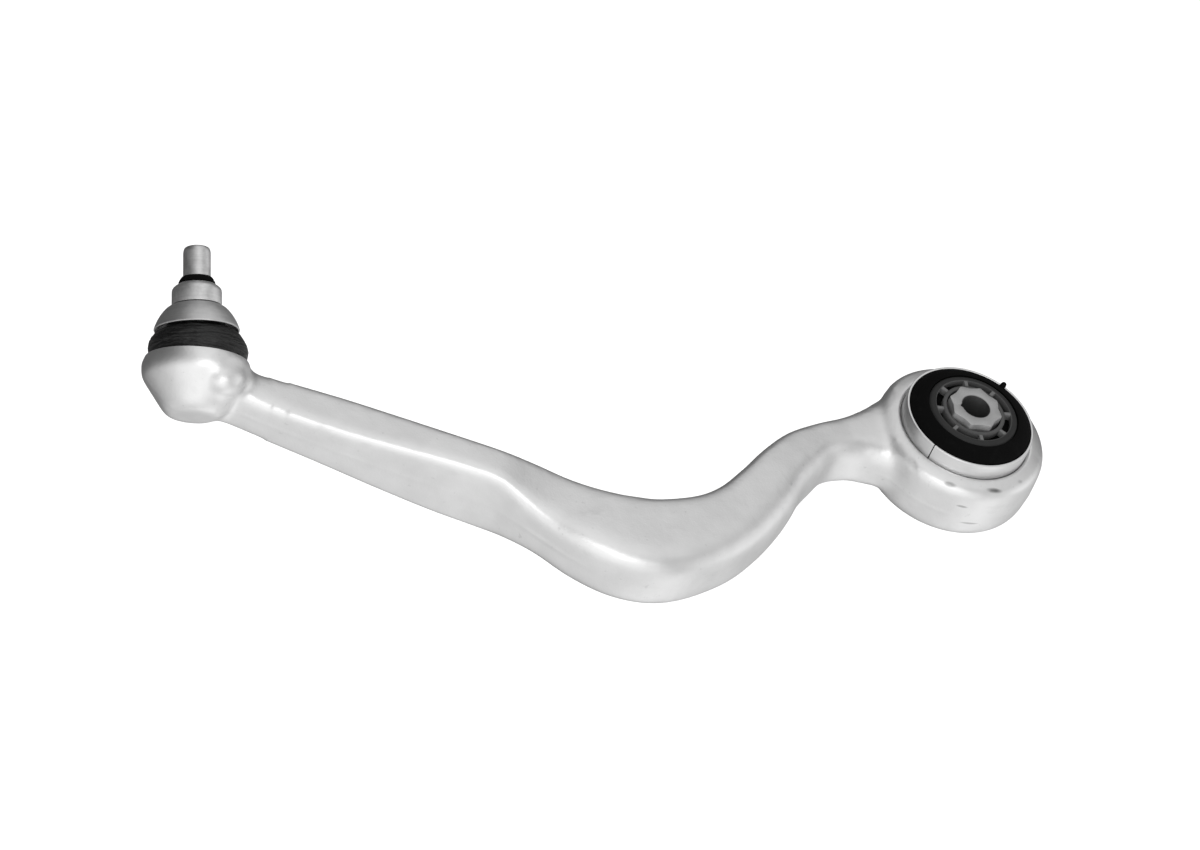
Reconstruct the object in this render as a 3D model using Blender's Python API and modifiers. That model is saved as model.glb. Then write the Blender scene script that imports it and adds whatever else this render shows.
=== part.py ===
"""Front suspension control arm (tension strut) with a ball joint and a hydraulic bush.

A forged aluminium arm carries a large bonded bush in the eye at its inner end and a sealed
ball joint in a socket at its outer end.  The origin is on the bush's bolt axis, in the plane
where the forging's two halves meet.  +Z runs along the bolt, and the ball joint lies towards
-X.  All lengths are in metres.
"""

import math

import bmesh
import bpy
from mathutils import Matrix, Vector

MM = 0.001
GAP = 0.3 * MM                      # clearance between neighbouring pieces
WELD = 0.00001                      # merge distance

# Ball joint: where it sits, how its socket and its stud lean, and its main sizes
BALL_CENTRE = Vector((-424.0, 0.0, 6.0)) * MM
SOCKET_LEAN = math.radians(62.0)    # from the bush's bolt axis to the socket axis
SOCKET_TILT = math.radians(5.0)     # socket axis towards the bush
STUD_TILT = math.radians(1.0)       # stud axis towards the bush, as the arm lies at rest
BALL_RADIUS = 14.5 * MM
BALL_FLAT = 13.4 * MM               # from the ball's centre down to the flat under it
NECK_RADIUS = 7.5 * MM
SOCKET_RADIUS = 18.6 * MM
SHELL_RIM = 7.0 * MM                # height of the plastic shell above the ball's centre
GREASE_WELL = 16.4 * MM             # radius of the well under the ball

# Bush: radii from the bolt outwards, and heights of its ends above and below the origin
BUSH_MIDDLE = 3.75 * MM
BOLT_BORE_RADIUS = 7.6 * MM
CORE_CORNER = 14.6 * MM
CORE_WAIST = 12.7 * MM
CORE_HALF = 32.25 * MM
CAGE_RADIUS = 31.3 * MM
CAGE_WALL = 1.3 * MM
CAGE_HALF = 20.5 * MM
CHANNEL_RADIUS = 33.1 * MM
CHANNEL_HALF = 11.0 * MM
CHAMBER_HALF = (15.6 * MM, 9.6 * MM)    # half width and half height of a fluid chamber
SLEEVE_RADIUS = 34.7 * MM
SLEEVE_WALL = 1.3 * MM
SLEEVE_HALF = 24.25 * MM
SLIT_WIDTH = 0.6 * MM
SLIT_ANGLE = math.radians(222.0)
RUBBER_HALF = 29.25 * MM
STOP_INNER = 14.9 * MM
STOP_OUTER = 24.2 * MM
STOP_THICK = 4.0 * MM
STOP_COUNT = 8                      # pockets in a stop ring, and flutes on the core
EYE_BORE = SLEEVE_RADIUS + GAP
BEYOND = 50.0 * MM                  # how far a cutter reaches past what it cuts

# Arm: centre line, width and height in mm, and squareness of the section's rear and front
ARM_STATIONS = [
    # x, y, width, height, rear, front
    (-421, -4, 22, 25, 4.0, 4.0),
    (-404, -8, 22, 26, 4.5, 4.5),
    (-380, -17, 25, 26, 5.0, 5.0),
    (-352, -27, 27, 29, 5.0, 5.0),
    (-325, -37.5, 26, 34, 5.0, 5.0),
    (-296, -48.5, 24, 39, 5.0, 5.0),
    (-272, -57, 24, 40, 5.0, 5.0),
    (-256, -64, 31, 34, 5.0, 4.5),
    (-240, -73, 38, 30, 5.0, 4.0),
    (-221, -84, 45, 34, 5.0, 4.0),
    (-203, -90.5, 50, 36, 5.0, 3.8),
    (-184, -91, 49, 37, 5.0, 3.4),
    (-157.5, -82, 42, 38, 4.5, 3.0),
    (-138, -69, 37, 38, 4.5, 2.7),
    (-121, -52, 34, 38, 4.5, 2.6),
    (-107, -35, 30, 37, 4.5, 2.7),
    (-92.5, -21, 27, 35, 4.5, 3.0),
    (-78, -11, 22, 33, 4.5, 3.3),
    (-62, -5.5, 25, 31, 4.5, 3.5),
    (-50, -3, 35, 31, 4.0, 3.5),
    (-38, -1, 49, 31, 4.0, 3.5),
]
SECTION_POINTS = 16
STEPS_PER_STATION = 2

ALUMINIUM = ((0.72, 0.73, 0.73), 0.42, 1.0)
STEEL = ((0.50, 0.50, 0.50), 0.32, 1.0)
ZINC = ((0.42, 0.43, 0.43), 0.45, 1.0)
RUBBER = ((0.012, 0.012, 0.013), 0.62, 0.0)
DARK_PLASTIC = ((0.045, 0.046, 0.048), 0.5, 0.0)
PALE_PLASTIC = ((0.75, 0.73, 0.66), 0.45, 0.0)
GREASE = ((0.55, 0.42, 0.16), 0.25, 0.0)


def clear_scene():
    """Remove what the file holds and return the collections for parts and for cutters."""
    for old in list(bpy.data.objects):
        bpy.data.objects.remove(old, do_unlink=True)
    parts = bpy.data.collections.new("control_arm")
    cutters = bpy.data.collections.new("cutters")
    for collection in (parts, cutters):
        bpy.context.scene.collection.children.link(collection)
    return parts, cutters


PARTS, CUTTERS = clear_scene()


def make_object(name, data, parent=None, cutter=False):
    """Link an object for the given mesh or curve."""
    obj = bpy.data.objects.new(name, data)
    (CUTTERS if cutter else PARTS).objects.link(obj)
    obj.parent = parent
    if cutter:
        obj.hide_render = True
        obj.display_type = 'WIRE'
    return obj


def paint(obj, finish):
    """Give the object its own Principled material from (colour, roughness, metallic)."""
    colour, roughness, metallic = finish
    material = bpy.data.materials.new(obj.name)
    material.use_nodes = True
    shader = material.node_tree.nodes["Principled BSDF"]
    shader.inputs["Base Color"].default_value = (*colour, 1.0)
    shader.inputs["Roughness"].default_value = roughness
    shader.inputs["Metallic"].default_value = metallic
    obj.data.materials.clear()
    obj.data.materials.append(material)


def shade(obj, sharp_degrees=35):
    """Smooth shading that keeps the real edges sharp."""
    obj.data.shade_smooth()
    obj.data.set_sharp_from_angle(angle=math.radians(sharp_degrees))


def axis_empty(name, place, turn):
    """An empty that carries the pieces of one axis."""
    empty = bpy.data.objects.new(name, None)
    PARTS.objects.link(empty)
    empty.matrix_world = Matrix.Translation(place) @ turn
    return empty


def arc(radius, start, stop, count, centre=(0.0, 0.0)):
    """Points of a profile arc, with angles in degrees from the radius towards +Z."""
    points = []
    for index in range(count + 1):
        angle = math.radians(start + (stop - start) * index / count)
        points.append((centre[0] + radius * math.cos(angle), centre[1] + radius * math.sin(angle)))
    return points


def turned(name, profile, steps=40, parent=None, closed=False, cutter=False):
    """Turn a profile of (radius, height) points, in metres, about the local Z axis."""
    mesh = bpy.data.meshes.new(name)
    edges = [(index, index + 1) for index in range(len(profile) - 1)]
    if closed:
        edges.append((len(profile) - 1, 0))
    mesh.from_pydata([(radius, 0.0, height) for radius, height in profile], edges, [])
    obj = make_object(name, mesh, parent, cutter)
    screw = obj.modifiers.new("turn", 'SCREW')
    screw.steps = steps
    screw.render_steps = steps
    screw.use_merge_vertices = True
    screw.merge_threshold = WELD
    screw.use_smooth_shade = True
    return obj


def mm_profile(points):
    """A profile given in mm, as metres."""
    return [(radius * MM, height * MM) for radius, height in points]


def baked(obj):
    """Swap an object for a plain mesh with its modifiers applied and its seams welded."""
    graph = bpy.context.evaluated_depsgraph_get()
    mesh = bpy.data.meshes.new_from_object(obj.evaluated_get(graph))
    work = bmesh.new()
    work.from_mesh(mesh)
    bmesh.ops.remove_doubles(work, verts=work.verts, dist=WELD)
    work.to_mesh(mesh)
    work.free()
    name, parent = obj.name, obj.parent
    bpy.data.objects.remove(obj, do_unlink=True)
    return make_object(name, mesh, parent)


def cut(obj, cutter, operation='DIFFERENCE'):
    """Add one Boolean with a cutter, or with a shape that is joined on."""
    boolean = obj.modifiers.new(cutter.name, 'BOOLEAN')
    boolean.operation = operation
    boolean.solver = 'EXACT'
    boolean.object = cutter


def circle_points(radius, count, phase=0.0):
    """Points round a circle in the XY plane."""
    angles = [phase + 2 * math.pi * index / count for index in range(count)]
    return [(radius * math.cos(angle), radius * math.sin(angle)) for angle in angles]


def plate(name, outlines, bottom, top):
    """Extrude flat outlines, the first outside and the others holes, from bottom to top."""
    curve = bpy.data.curves.new(name, 'CURVE')
    curve.dimensions = '2D'
    curve.fill_mode = 'BOTH'
    curve.extrude = (top - bottom) / 2
    for outline in outlines:
        spline = curve.splines.new('POLY')
        spline.points.add(len(outline) - 1)
        for point, (x, y) in zip(spline.points, outline):
            point.co = (x, y, 0.0, 1.0)
        spline.use_cyclic_u = True
    solid = baked(make_object(name, curve))
    solid.data.transform(Matrix.Translation((0.0, 0.0, (top + bottom) / 2)))
    return solid


def box(name, low, high, turn=0.0):
    """A cutter box between two corners, turned about Z."""
    mesh = bpy.data.meshes.new(name)
    work = bmesh.new()
    bmesh.ops.create_cube(work, size=1.0)
    size = Vector(high) - Vector(low)
    middle = (Vector(high) + Vector(low)) / 2
    place = Matrix.Rotation(turn, 4, 'Z') @ Matrix.Translation(middle)
    bmesh.ops.transform(work, matrix=place @ Matrix.Diagonal((*size, 1.0)), verts=work.verts)
    work.to_mesh(mesh)
    work.free()
    return make_object(name, mesh, cutter=True)


# --- Arm forging -----------------------------------------------------------------------------

def smooth_value(values, position):
    """Catmull-Rom value of a list at a fractional index."""
    index = min(int(position), len(values) - 2)
    t = position - index
    before = values[max(index - 1, 0)]
    start, stop = values[index], values[index + 1]
    after = values[min(index + 2, len(values) - 1)]
    return 0.5 * (2 * start + (stop - before) * t
                  + (2 * before - 5 * start + 4 * stop - after) * t ** 2
                  + (3 * start - before - 3 * stop + after) * t ** 3)


def arm_section(place, across, width, height, rear, front):
    """One ring of the arm: a rounded oblong that stands across the centre line."""
    ring = []
    for index in range(SECTION_POINTS):
        angle = 2 * math.pi * (index + 0.5) / SECTION_POINTS
        power = 2 / (rear if math.cos(angle) > 0 else front)
        side = math.copysign(abs(math.cos(angle)) ** power, math.cos(angle)) * width / 2
        lift = math.copysign(abs(math.sin(angle)) ** power, math.sin(angle)) * height / 2
        ring.append(place + across * side + Vector((0, 0, lift)))
    return ring


def arm_beam():
    """Loft the arm's changing section along its bent centre line."""
    columns = [list(column) for column in zip(*ARM_STATIONS)]
    count = (len(ARM_STATIONS) - 1) * STEPS_PER_STATION
    rows = [[smooth_value(column, index / STEPS_PER_STATION) for column in columns]
            for index in range(count + 1)]
    places = [Vector((row[0], row[1], 0)) * MM for row in rows]
    mesh = bpy.data.meshes.new("arm_forging")
    work = bmesh.new()
    previous = None
    for index, (row, place) in enumerate(zip(rows, places)):
        along = (places[min(index + 1, count)] - places[max(index - 1, 0)]).normalized()
        across = Vector((0, 0, 1)).cross(along)
        corners = arm_section(place, across, row[2] * MM, row[3] * MM, row[4], row[5])
        ring = [work.verts.new(corner) for corner in corners]
        if previous is None:
            work.faces.new(ring)
        else:
            for left in range(SECTION_POINTS):
                right = (left + 1) % SECTION_POINTS
                work.faces.new((previous[left], ring[left], ring[right], previous[right]))
        previous = ring
    work.faces.new(reversed(previous))
    bmesh.ops.recalc_face_normals(work, faces=work.faces)
    work.to_mesh(mesh)
    work.free()
    return make_object("arm_forging", mesh)


def arm_forging(socket_axis):
    """Beam, eye and ball housing in one forging, with its bore and its socket machined."""
    forging = arm_beam()
    eye = turned("eye_blank", mm_profile([
        (0, 19.5), (39.0, 19.5), (42.8, 17.8), (45.0, 14.0), (45.6, 0.5),
        (44.4, -10.5), (42.4, -14.8), (39.0, -17.0), (0, -17.0)]), 48, cutter=True)
    housing = turned("housing_blank", mm_profile([
        (0, 11.0), (21.4, 11.0), (22.0, 10.4), (22.0, 7.5), (24.6, 7.5), (26.4, 6.2), (27.7, 3.4),
        (28.3, -0.6), (27.6, -4.4), (16.2, -20.8), (14.9, -22.6), (12.6, -23.7), (0, -23.7)]),
        36, socket_axis, cutter=True)
    mouth = mm_profile([(0, 20), (17.2, 20), (17.2, 9.6)]) + [(SOCKET_RADIUS, 9.6 * MM)]
    socket = turned("socket_cut", mouth + arc(SOCKET_RADIUS, 0, -90, 7), 36, socket_axis,
                    cutter=True)
    bore = turned("eye_bore_cut", [(0.0, BEYOND), (EYE_BORE, BEYOND), (EYE_BORE, -BEYOND),
                                   (0.0, -BEYOND)], 48, cutter=True)
    cut(forging, eye, 'UNION')
    cut(forging, housing, 'UNION')
    cut(forging, socket)
    cut(forging, bore)
    shade(forging)
    paint(forging, ALUMINIUM)


# --- Ball joint ------------------------------------------------------------------------------

def ball_stud(stud_axis):
    """Ball, neck, collar and shank turned from one bar."""
    neck_angle = math.degrees(math.acos(NECK_RADIUS / BALL_RADIUS))
    flat_angle = -math.degrees(math.asin(BALL_FLAT / BALL_RADIUS))
    profile = mm_profile([
        (0, 66.4), (5.0, 66.4), (6.4, 65.5), (7.1, 63.8), (7.1, 46.3), (9.4, 46.3), (12.9, 43.5),
        (12.9, 35.1), (10.4, 35.1), (10.4, 33.4), (9.2, 30.0), (9.2, 22.0), (8.0, 16.0)])
    profile += arc(BALL_RADIUS, neck_angle, flat_angle, 11) + [(0.0, -BALL_FLAT)]
    paint(turned("ball_stud", profile, 30, stud_axis), STEEL)


def bearing_shell(socket_axis):
    """Plastic cup that wraps the ball past its equator, with a grease well at the bottom."""
    outer = SOCKET_RADIUS - GAP
    inner = BALL_RADIUS + GAP
    rim_angle = math.degrees(math.asin(SHELL_RIM / inner))
    well_angle = -50.0
    profile = [(outer, SHELL_RIM)] + arc(outer, 0, -90, 7)
    profile += arc(GREASE_WELL, -90, well_angle, 3) + arc(inner, well_angle, rim_angle, 8)
    shell = turned("bearing_shell", profile + profile[:1], 28, socket_axis)
    paint(shell, PALE_PLASTIC)


def grease_fill(stud_axis):
    """The charge of grease in the well under the ball."""
    outer = arc(GREASE_WELL - GAP, -70, -90, 3)
    inner = arc(BALL_RADIUS + 0.5 * MM, -90, -70, 3)
    paint(turned("grease_fill", outer + inner + outer[:1], 20, stud_axis), GREASE)


def closing_ring(socket_axis):
    """Ring that the rolled edge of the housing presses on the shell."""
    ring = turned("closing_ring", mm_profile([
        (18.3, 9.3), (18.3, 7.3), (13.6, 7.3), (14.6, 9.3)]), 28, socket_axis, closed=True)
    paint(ring, STEEL)


def dust_boot(socket_axis):
    """Rubber gaiter: it sits on the housing and leans with the stud at its upper end."""
    outside = [(13.4, 28.6), (13.4, 27.4), (12.4, 27.2), (12.4, 25.9), (14.2, 25.5), (15.3, 24.4),
               (14.7, 22.6), (17.4, 21.6), (20.7, 20.2), (23.6, 17.8), (25.2, 15.2), (25.4, 12.8),
               (24.6, 10.4), (24.2, 7.8)]
    inside = [(23.4, 7.8), (23.4, 11.4), (23.6, 13.6), (21.9, 16.6), (19.6, 18.6), (13.4, 20.6),
              (12.6, 22.8), (11.4, 24.4), (11.4, 28.6)]
    boot = baked(turned("dust_boot", mm_profile(outside + inside), 32, socket_axis, closed=True))
    low, high = 11.0 * MM, 23.0 * MM
    for vertex in boot.data.vertices:
        share = min(max((vertex.co.z - low) / (high - low), 0.0), 1.0)
        share = share * share * (3 - 2 * share)
        vertex.co.rotate(Matrix.Rotation((STUD_TILT - SOCKET_TILT) * share, 3, 'Y'))
    shade(boot, 50)
    paint(boot, RUBBER)


def boot_rings(socket_axis, stud_axis):
    """The ring in the boot's foot, the ring round its top, and the ring that top slides on."""
    foot = turned("lower_boot_ring", mm_profile([(23.1, 10.9), (23.1, 7.8), (22.3, 7.8),
                                                 (22.3, 10.9)]), 28, socket_axis, closed=True)
    paint(foot, STEEL)
    wire = arc(0.55 * MM, 90, -225, 7, (13.35 * MM, 26.55 * MM))
    paint(turned("upper_boot_ring", wire, 28, stud_axis, closed=True), STEEL)
    slide = turned("slide_ring", mm_profile([(11.1, 28.4), (11.1, 24.9), (9.5, 24.9), (9.5, 28.4)]),
                   28, stud_axis, closed=True)
    paint(slide, PALE_PLASTIC)


def dust_shield(stud_axis):
    """Pressed steel dome that shades the boot from stones."""
    outside = [(10.8, 34.8), (13.0, 34.7), (15.0, 33.6), (17.0, 31.6), (18.8, 29.2), (20.3, 26.6),
               (21.4, 24.0), (22.0, 21.8)]
    inside = [(20.9, 21.8), (20.2, 23.8), (19.1, 26.2), (17.7, 28.6), (16.0, 30.8), (14.4, 32.4),
              (12.8, 33.5), (10.8, 33.6)]
    shield = turned("dust_shield", mm_profile(outside + inside), 36, stud_axis, closed=True)
    paint(shield, ZINC)


def stud_seal_ring(stud_axis):
    """Tapered rubber seal on the shank, against the collar."""
    seal = turned("stud_seal_ring", mm_profile([
        (7.9, 49.9), (8.5, 48.8), (9.3, 47.2), (9.3, 46.6), (7.4, 46.6), (7.4, 49.9)]),
        28, stud_axis, closed=True)
    paint(seal, RUBBER)


# --- Bush ------------------------------------------------------------------------------------

def bush_ring(name, half, outer, inner, steps=48):
    """A plain ring about the bush's middle."""
    return turned(name, [(outer, BUSH_MIDDLE + half), (outer, BUSH_MIDDLE - half),
                         (inner, BUSH_MIDDLE - half), (inner, BUSH_MIDDLE + half)],
                  steps, closed=True)


def bush_sleeve():
    """Thin outer tube, rolled from strip, so it has a slit along one side."""
    sleeve = bush_ring("bush_sleeve", SLEEVE_HALF, SLEEVE_RADIUS, SLEEVE_RADIUS - SLEEVE_WALL)
    slit = box("slit_cut", (SLEEVE_RADIUS / 2, -SLIT_WIDTH / 2, -BEYOND),
               (BEYOND, SLIT_WIDTH / 2, BEYOND), SLIT_ANGLE)
    cut(sleeve, slit)
    paint(sleeve, ALUMINIUM)


def chamber_box(name, side, width, height, start):
    """Cutter for a fluid chamber or its window, on the -Y or the +Y side."""
    near, far = sorted((side * start, side * BEYOND))
    return box(name, (-width, near, BUSH_MIDDLE - height), (width, far, BUSH_MIDDLE + height))


def window_cage():
    """Stiffening cage in the rubber, with a window at each fluid chamber."""
    cage = bush_ring("window_cage", CAGE_HALF, CAGE_RADIUS, CAGE_RADIUS - CAGE_WALL, 40)
    for name, side in (("window_cut_front", -1), ("window_cut_rear", 1)):
        cut(cage, chamber_box(name, side, *CHAMBER_HALF, CAGE_RADIUS / 2))
    paint(cage, STEEL)


def channel_halves():
    """Two half rings whose groove lets the fluid run from chamber to chamber."""
    inner, floor = CAGE_RADIUS + GAP, CHANNEL_RADIUS - 0.7 * MM
    groove = 2.0 * MM
    heights = [(CHANNEL_RADIUS, CHANNEL_HALF), (CHANNEL_RADIUS, groove), (floor, groove),
               (floor, -groove), (CHANNEL_RADIUS, -groove), (CHANNEL_RADIUS, -CHANNEL_HALF),
               (inner, -CHANNEL_HALF), (inner, CHANNEL_HALF)]
    profile = [(radius, BUSH_MIDDLE + height) for radius, height in heights]
    for name, side in (("channel_half_front", -1), ("channel_half_rear", 1)):
        half = turned(name, profile, 40, closed=True)
        near, far = sorted((side * GAP, -side * BEYOND))
        cut(half, box(name + "_cut", (-BEYOND, near, -BEYOND), (BEYOND, far, BEYOND)))
        paint(half, DARK_PLASTIC)


def bush_rubber():
    """Bonded rubber between the core and the cage, with a fluid chamber in each side."""
    seat = RUBBER_HALF - STOP_THICK - GAP
    cage_inside = CAGE_RADIUS - CAGE_WALL - GAP
    end = [(STOP_INNER, seat), (STOP_OUTER + GAP, seat), (STOP_OUTER + GAP, 28.9 * MM),
           (28.4 * MM, 27.4 * MM), (31.6 * MM, 25.4 * MM), (CHANNEL_RADIUS, 23.8 * MM),
           (CHANNEL_RADIUS, CAGE_HALF + GAP), (cage_inside, CAGE_HALF + GAP)]
    heights = end + [(radius, -height) for radius, height in reversed(end)]
    profile = [(radius, BUSH_MIDDLE + height) for radius, height in heights]
    rubber = turned("bush_rubber", profile, 48, closed=True)
    for name, side in (("chamber_cut_front", -1), ("chamber_cut_rear", 1)):
        cut(rubber, chamber_box(name, side, *CHAMBER_HALF, 19 * MM))
    nub = turned("nub", mm_profile([(0, 1.6), (1.2, 1.2), (1.6, 0), (1.6, -3), (0, -3)]), 12,
                 cutter=True)
    nub.location = Vector((22.9, 22.9, 30.2)) * MM
    nub.rotation_euler = (0.0, math.radians(60), math.radians(45))
    cut(rubber, nub, 'UNION')
    paint(rubber, RUBBER)


def chamber_stops():
    """A bump stop in each fluid chamber, which limits how far the core can travel."""
    size = Vector((20.0, 6.0, 14.0)) * MM
    for name, side in (("chamber_stop_front", -1), ("chamber_stop_rear", 1)):
        mesh = bpy.data.meshes.new(name)
        work = bmesh.new()
        bmesh.ops.create_cube(work, size=1.0)
        middle = Matrix.Translation((0, side * 25.5 * MM, BUSH_MIDDLE))
        bmesh.ops.transform(work, matrix=middle @ Matrix.Diagonal((*size, 1.0)), verts=work.verts)
        work.to_mesh(mesh)
        work.free()
        stop = make_object(name, mesh)
        bevel = stop.modifiers.new("edges", 'BEVEL')
        bevel.width = 1.2 * MM
        bevel.segments = 2
        paint(stop, DARK_PLASTIC)


def bush_core():
    """Extruded core: eight shallow flutes outside, and the bolt's bore with its key notch."""
    outline = []
    for index in range(2 * STOP_COUNT):
        radius = CORE_CORNER if index % 2 else CORE_WAIST
        angle = math.pi * index / STOP_COUNT
        outline.append((radius * math.cos(angle), radius * math.sin(angle)))
    bore = circle_points(BOLT_BORE_RADIUS, 28, math.pi)
    bore[0] = (-BOLT_BORE_RADIUS - 1.2 * MM, 0.0)
    core = plate("bush_core", [outline, bore], BUSH_MIDDLE - CORE_HALF, BUSH_MIDDLE + CORE_HALF)
    paint(core, ALUMINIUM)


def stop_rings():
    """Plastic stop ring with eight pockets, one at each end of the bush."""
    web = 2.0 * MM
    step = 2 * math.pi / STOP_COUNT
    outlines = [circle_points(STOP_OUTER, 40), circle_points(STOP_INNER, 24)]
    for index in range(STOP_COUNT):
        middle = step * (index + 0.5)
        pocket = []
        for radius, order in ((20.6 * MM, 1), (17.0 * MM, -1)):
            half = step / 2 - math.asin(web / 2 / radius)
            for share in (-1.0, -0.33, 0.33, 1.0):
                angle = middle + order * share * half
                pocket.append((radius * math.cos(angle), radius * math.sin(angle)))
        outlines.append(pocket)
    for name, low in (("stop_ring_upper", BUSH_MIDDLE + RUBBER_HALF - STOP_THICK),
                      ("stop_ring_lower", BUSH_MIDDLE - RUBBER_HALF)):
        paint(plate(name, outlines, low, low + STOP_THICK), DARK_PLASTIC)


def build():
    """Make every piece of the arm."""
    lean = Matrix.Rotation(-SOCKET_LEAN, 4, 'X')
    socket_axis = axis_empty("socket_axis", BALL_CENTRE,
                             lean @ Matrix.Rotation(SOCKET_TILT, 4, 'Y'))
    stud_axis = axis_empty("stud_axis", BALL_CENTRE, lean @ Matrix.Rotation(STUD_TILT, 4, 'Y'))
    arm_forging(socket_axis)
    bearing_shell(socket_axis)
    closing_ring(socket_axis)
    grease_fill(stud_axis)
    ball_stud(stud_axis)
    dust_boot(socket_axis)
    boot_rings(socket_axis, stud_axis)
    dust_shield(stud_axis)
    stud_seal_ring(stud_axis)
    bush_sleeve()
    window_cage()
    channel_halves()
    bush_rubber()
    chamber_stops()
    bush_core()
    stop_rings()


build()
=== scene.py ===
# %% [markdown]
# # A forged control arm, from its frame to its finish
#
# A control arm joins a car's wheel carrier to its subframe. This one is an aluminium forging with
# a sealed ball joint at its outer end and a large hydraulic rubber bush in the eye at its inner
# end. The frame that is loaded here holds the plain working solids and their joints. Each piece
# that shows is then modelled finely in its own place, and all but the boot ride on the body that
# moves it.

# %% Load the frame
import math

import bmesh
import bpy
from mathutils import Matrix, Vector, noise


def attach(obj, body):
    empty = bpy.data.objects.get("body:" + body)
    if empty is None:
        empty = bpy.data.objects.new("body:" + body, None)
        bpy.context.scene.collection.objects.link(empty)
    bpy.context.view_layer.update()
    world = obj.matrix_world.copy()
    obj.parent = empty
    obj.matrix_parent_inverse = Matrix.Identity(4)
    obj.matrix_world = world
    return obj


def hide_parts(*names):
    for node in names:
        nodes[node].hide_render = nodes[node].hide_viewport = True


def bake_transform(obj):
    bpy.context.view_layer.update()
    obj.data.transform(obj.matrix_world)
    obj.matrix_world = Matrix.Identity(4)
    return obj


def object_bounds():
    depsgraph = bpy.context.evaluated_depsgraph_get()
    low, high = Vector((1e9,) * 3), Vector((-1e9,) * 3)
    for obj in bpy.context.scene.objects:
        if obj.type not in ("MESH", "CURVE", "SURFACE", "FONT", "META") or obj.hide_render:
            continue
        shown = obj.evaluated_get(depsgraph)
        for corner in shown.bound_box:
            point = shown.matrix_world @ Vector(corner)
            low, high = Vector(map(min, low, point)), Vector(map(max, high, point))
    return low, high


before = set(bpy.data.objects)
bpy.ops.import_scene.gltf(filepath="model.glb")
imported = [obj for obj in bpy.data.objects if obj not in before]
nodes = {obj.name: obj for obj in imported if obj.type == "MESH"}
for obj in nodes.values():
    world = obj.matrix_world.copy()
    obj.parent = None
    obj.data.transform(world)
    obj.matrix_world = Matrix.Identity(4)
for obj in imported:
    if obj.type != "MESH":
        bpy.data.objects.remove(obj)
cad_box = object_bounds()

# %% [markdown]
# ## The two axes
#
# The bush's bolt runs along Z through the origin. The ball joint leans away from it: its socket
# axis points to +Y and up, and the stud leans a little differently from the socket, because the
# joint isn't at the middle of its travel. A turned piece is drawn upright about Z and then moved
# by one of these matrices, so its profile can be written as plain radii and heights.

# %% Places and axes
MM = 0.001
WELD = 0.00001
BALL_CENTRE = Vector((-424.0, 0.0, 6.0)) * MM
LEAN = Matrix.Rotation(math.radians(-62.0), 4, 'X')
SOCKET_TILT = math.radians(5.0)
STUD_TILT = math.radians(1.0)
SOCKET = Matrix.Translation(BALL_CENTRE) @ LEAN @ Matrix.Rotation(SOCKET_TILT, 4, 'Y')
STUD = Matrix.Translation(BALL_CENTRE) @ LEAN @ Matrix.Rotation(STUD_TILT, 4, 'Y')
BUSH_MIDDLE = 3.75
BUSH = Matrix.Translation((0.0, 0.0, BUSH_MIDDLE * MM))
FULL_TURN = 2 * math.pi
print("stud points along", [round(value, 3) for value in STUD.to_3x3() @ Vector((0, 0, 1))])

# %% [markdown]
# ## Shader maths as plain sums
#
# Procedural materials need many small sums. A short class wraps an output socket and gives it
# the usual operators, so a mask can be written as `1 - grain * 0.2`. Every other node comes from
# one method that takes the node's type, its settings and its inputs. The same nodes could be
# placed one by one, but a mask of six steps would then be thirty lines long.

# %% A small wrapper for shader nodes
MIX_SHARE, MIX_FIRST, MIX_SECOND = 0, 6, 7      # a colour mix's sockets, which share their names
MIX_COLOUR = 2


class Value:
    """An output socket that does arithmetic."""

    def __init__(self, maker, socket):
        self.maker, self.socket = maker, socket

    def maths(self, operation, *terms, clamp=False):
        return self.maker.node('ShaderNodeMath', {"operation": operation, "use_clamp": clamp},
                               dict(enumerate(terms)))

    def __add__(self, other): return self.maths('ADD', self, other)
    def __radd__(self, other): return self.maths('ADD', other, self)
    def __sub__(self, other): return self.maths('SUBTRACT', self, other)
    def __rsub__(self, other): return self.maths('SUBTRACT', other, self)
    def __mul__(self, other): return self.maths('MULTIPLY', self, other)
    def __rmul__(self, other): return self.maths('MULTIPLY', other, self)
    def __pow__(self, other): return self.maths('POWER', self, other)
    def clamped(self): return self.maths('ADD', self, 0.0, clamp=True)


class Maker:
    """A node tree, and the one way in which nodes are added to it."""

    def __init__(self, tree):
        self.tree = tree

    def node(self, kind, settings=None, inputs=None, output=0):
        """Add a node: its settings first, then the values or links of its sockets."""
        made = self.tree.nodes.new(kind)
        for key, value in (settings or {}).items():
            setattr(made, key, value)
        for key, value in (inputs or {}).items():
            if isinstance(value, Value):
                self.tree.links.new(value.socket, made.inputs[key])
            else:
                made.inputs[key].default_value = value
        return Value(self, made.outputs[output])

    def step(self, value, low, high):
        """0 below low, 1 above high and smooth between."""
        return self.node('ShaderNodeMapRange', {"interpolation_type": 'SMOOTHSTEP'},
                         {"Value": value, "From Min": low, "From Max": high})


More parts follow.
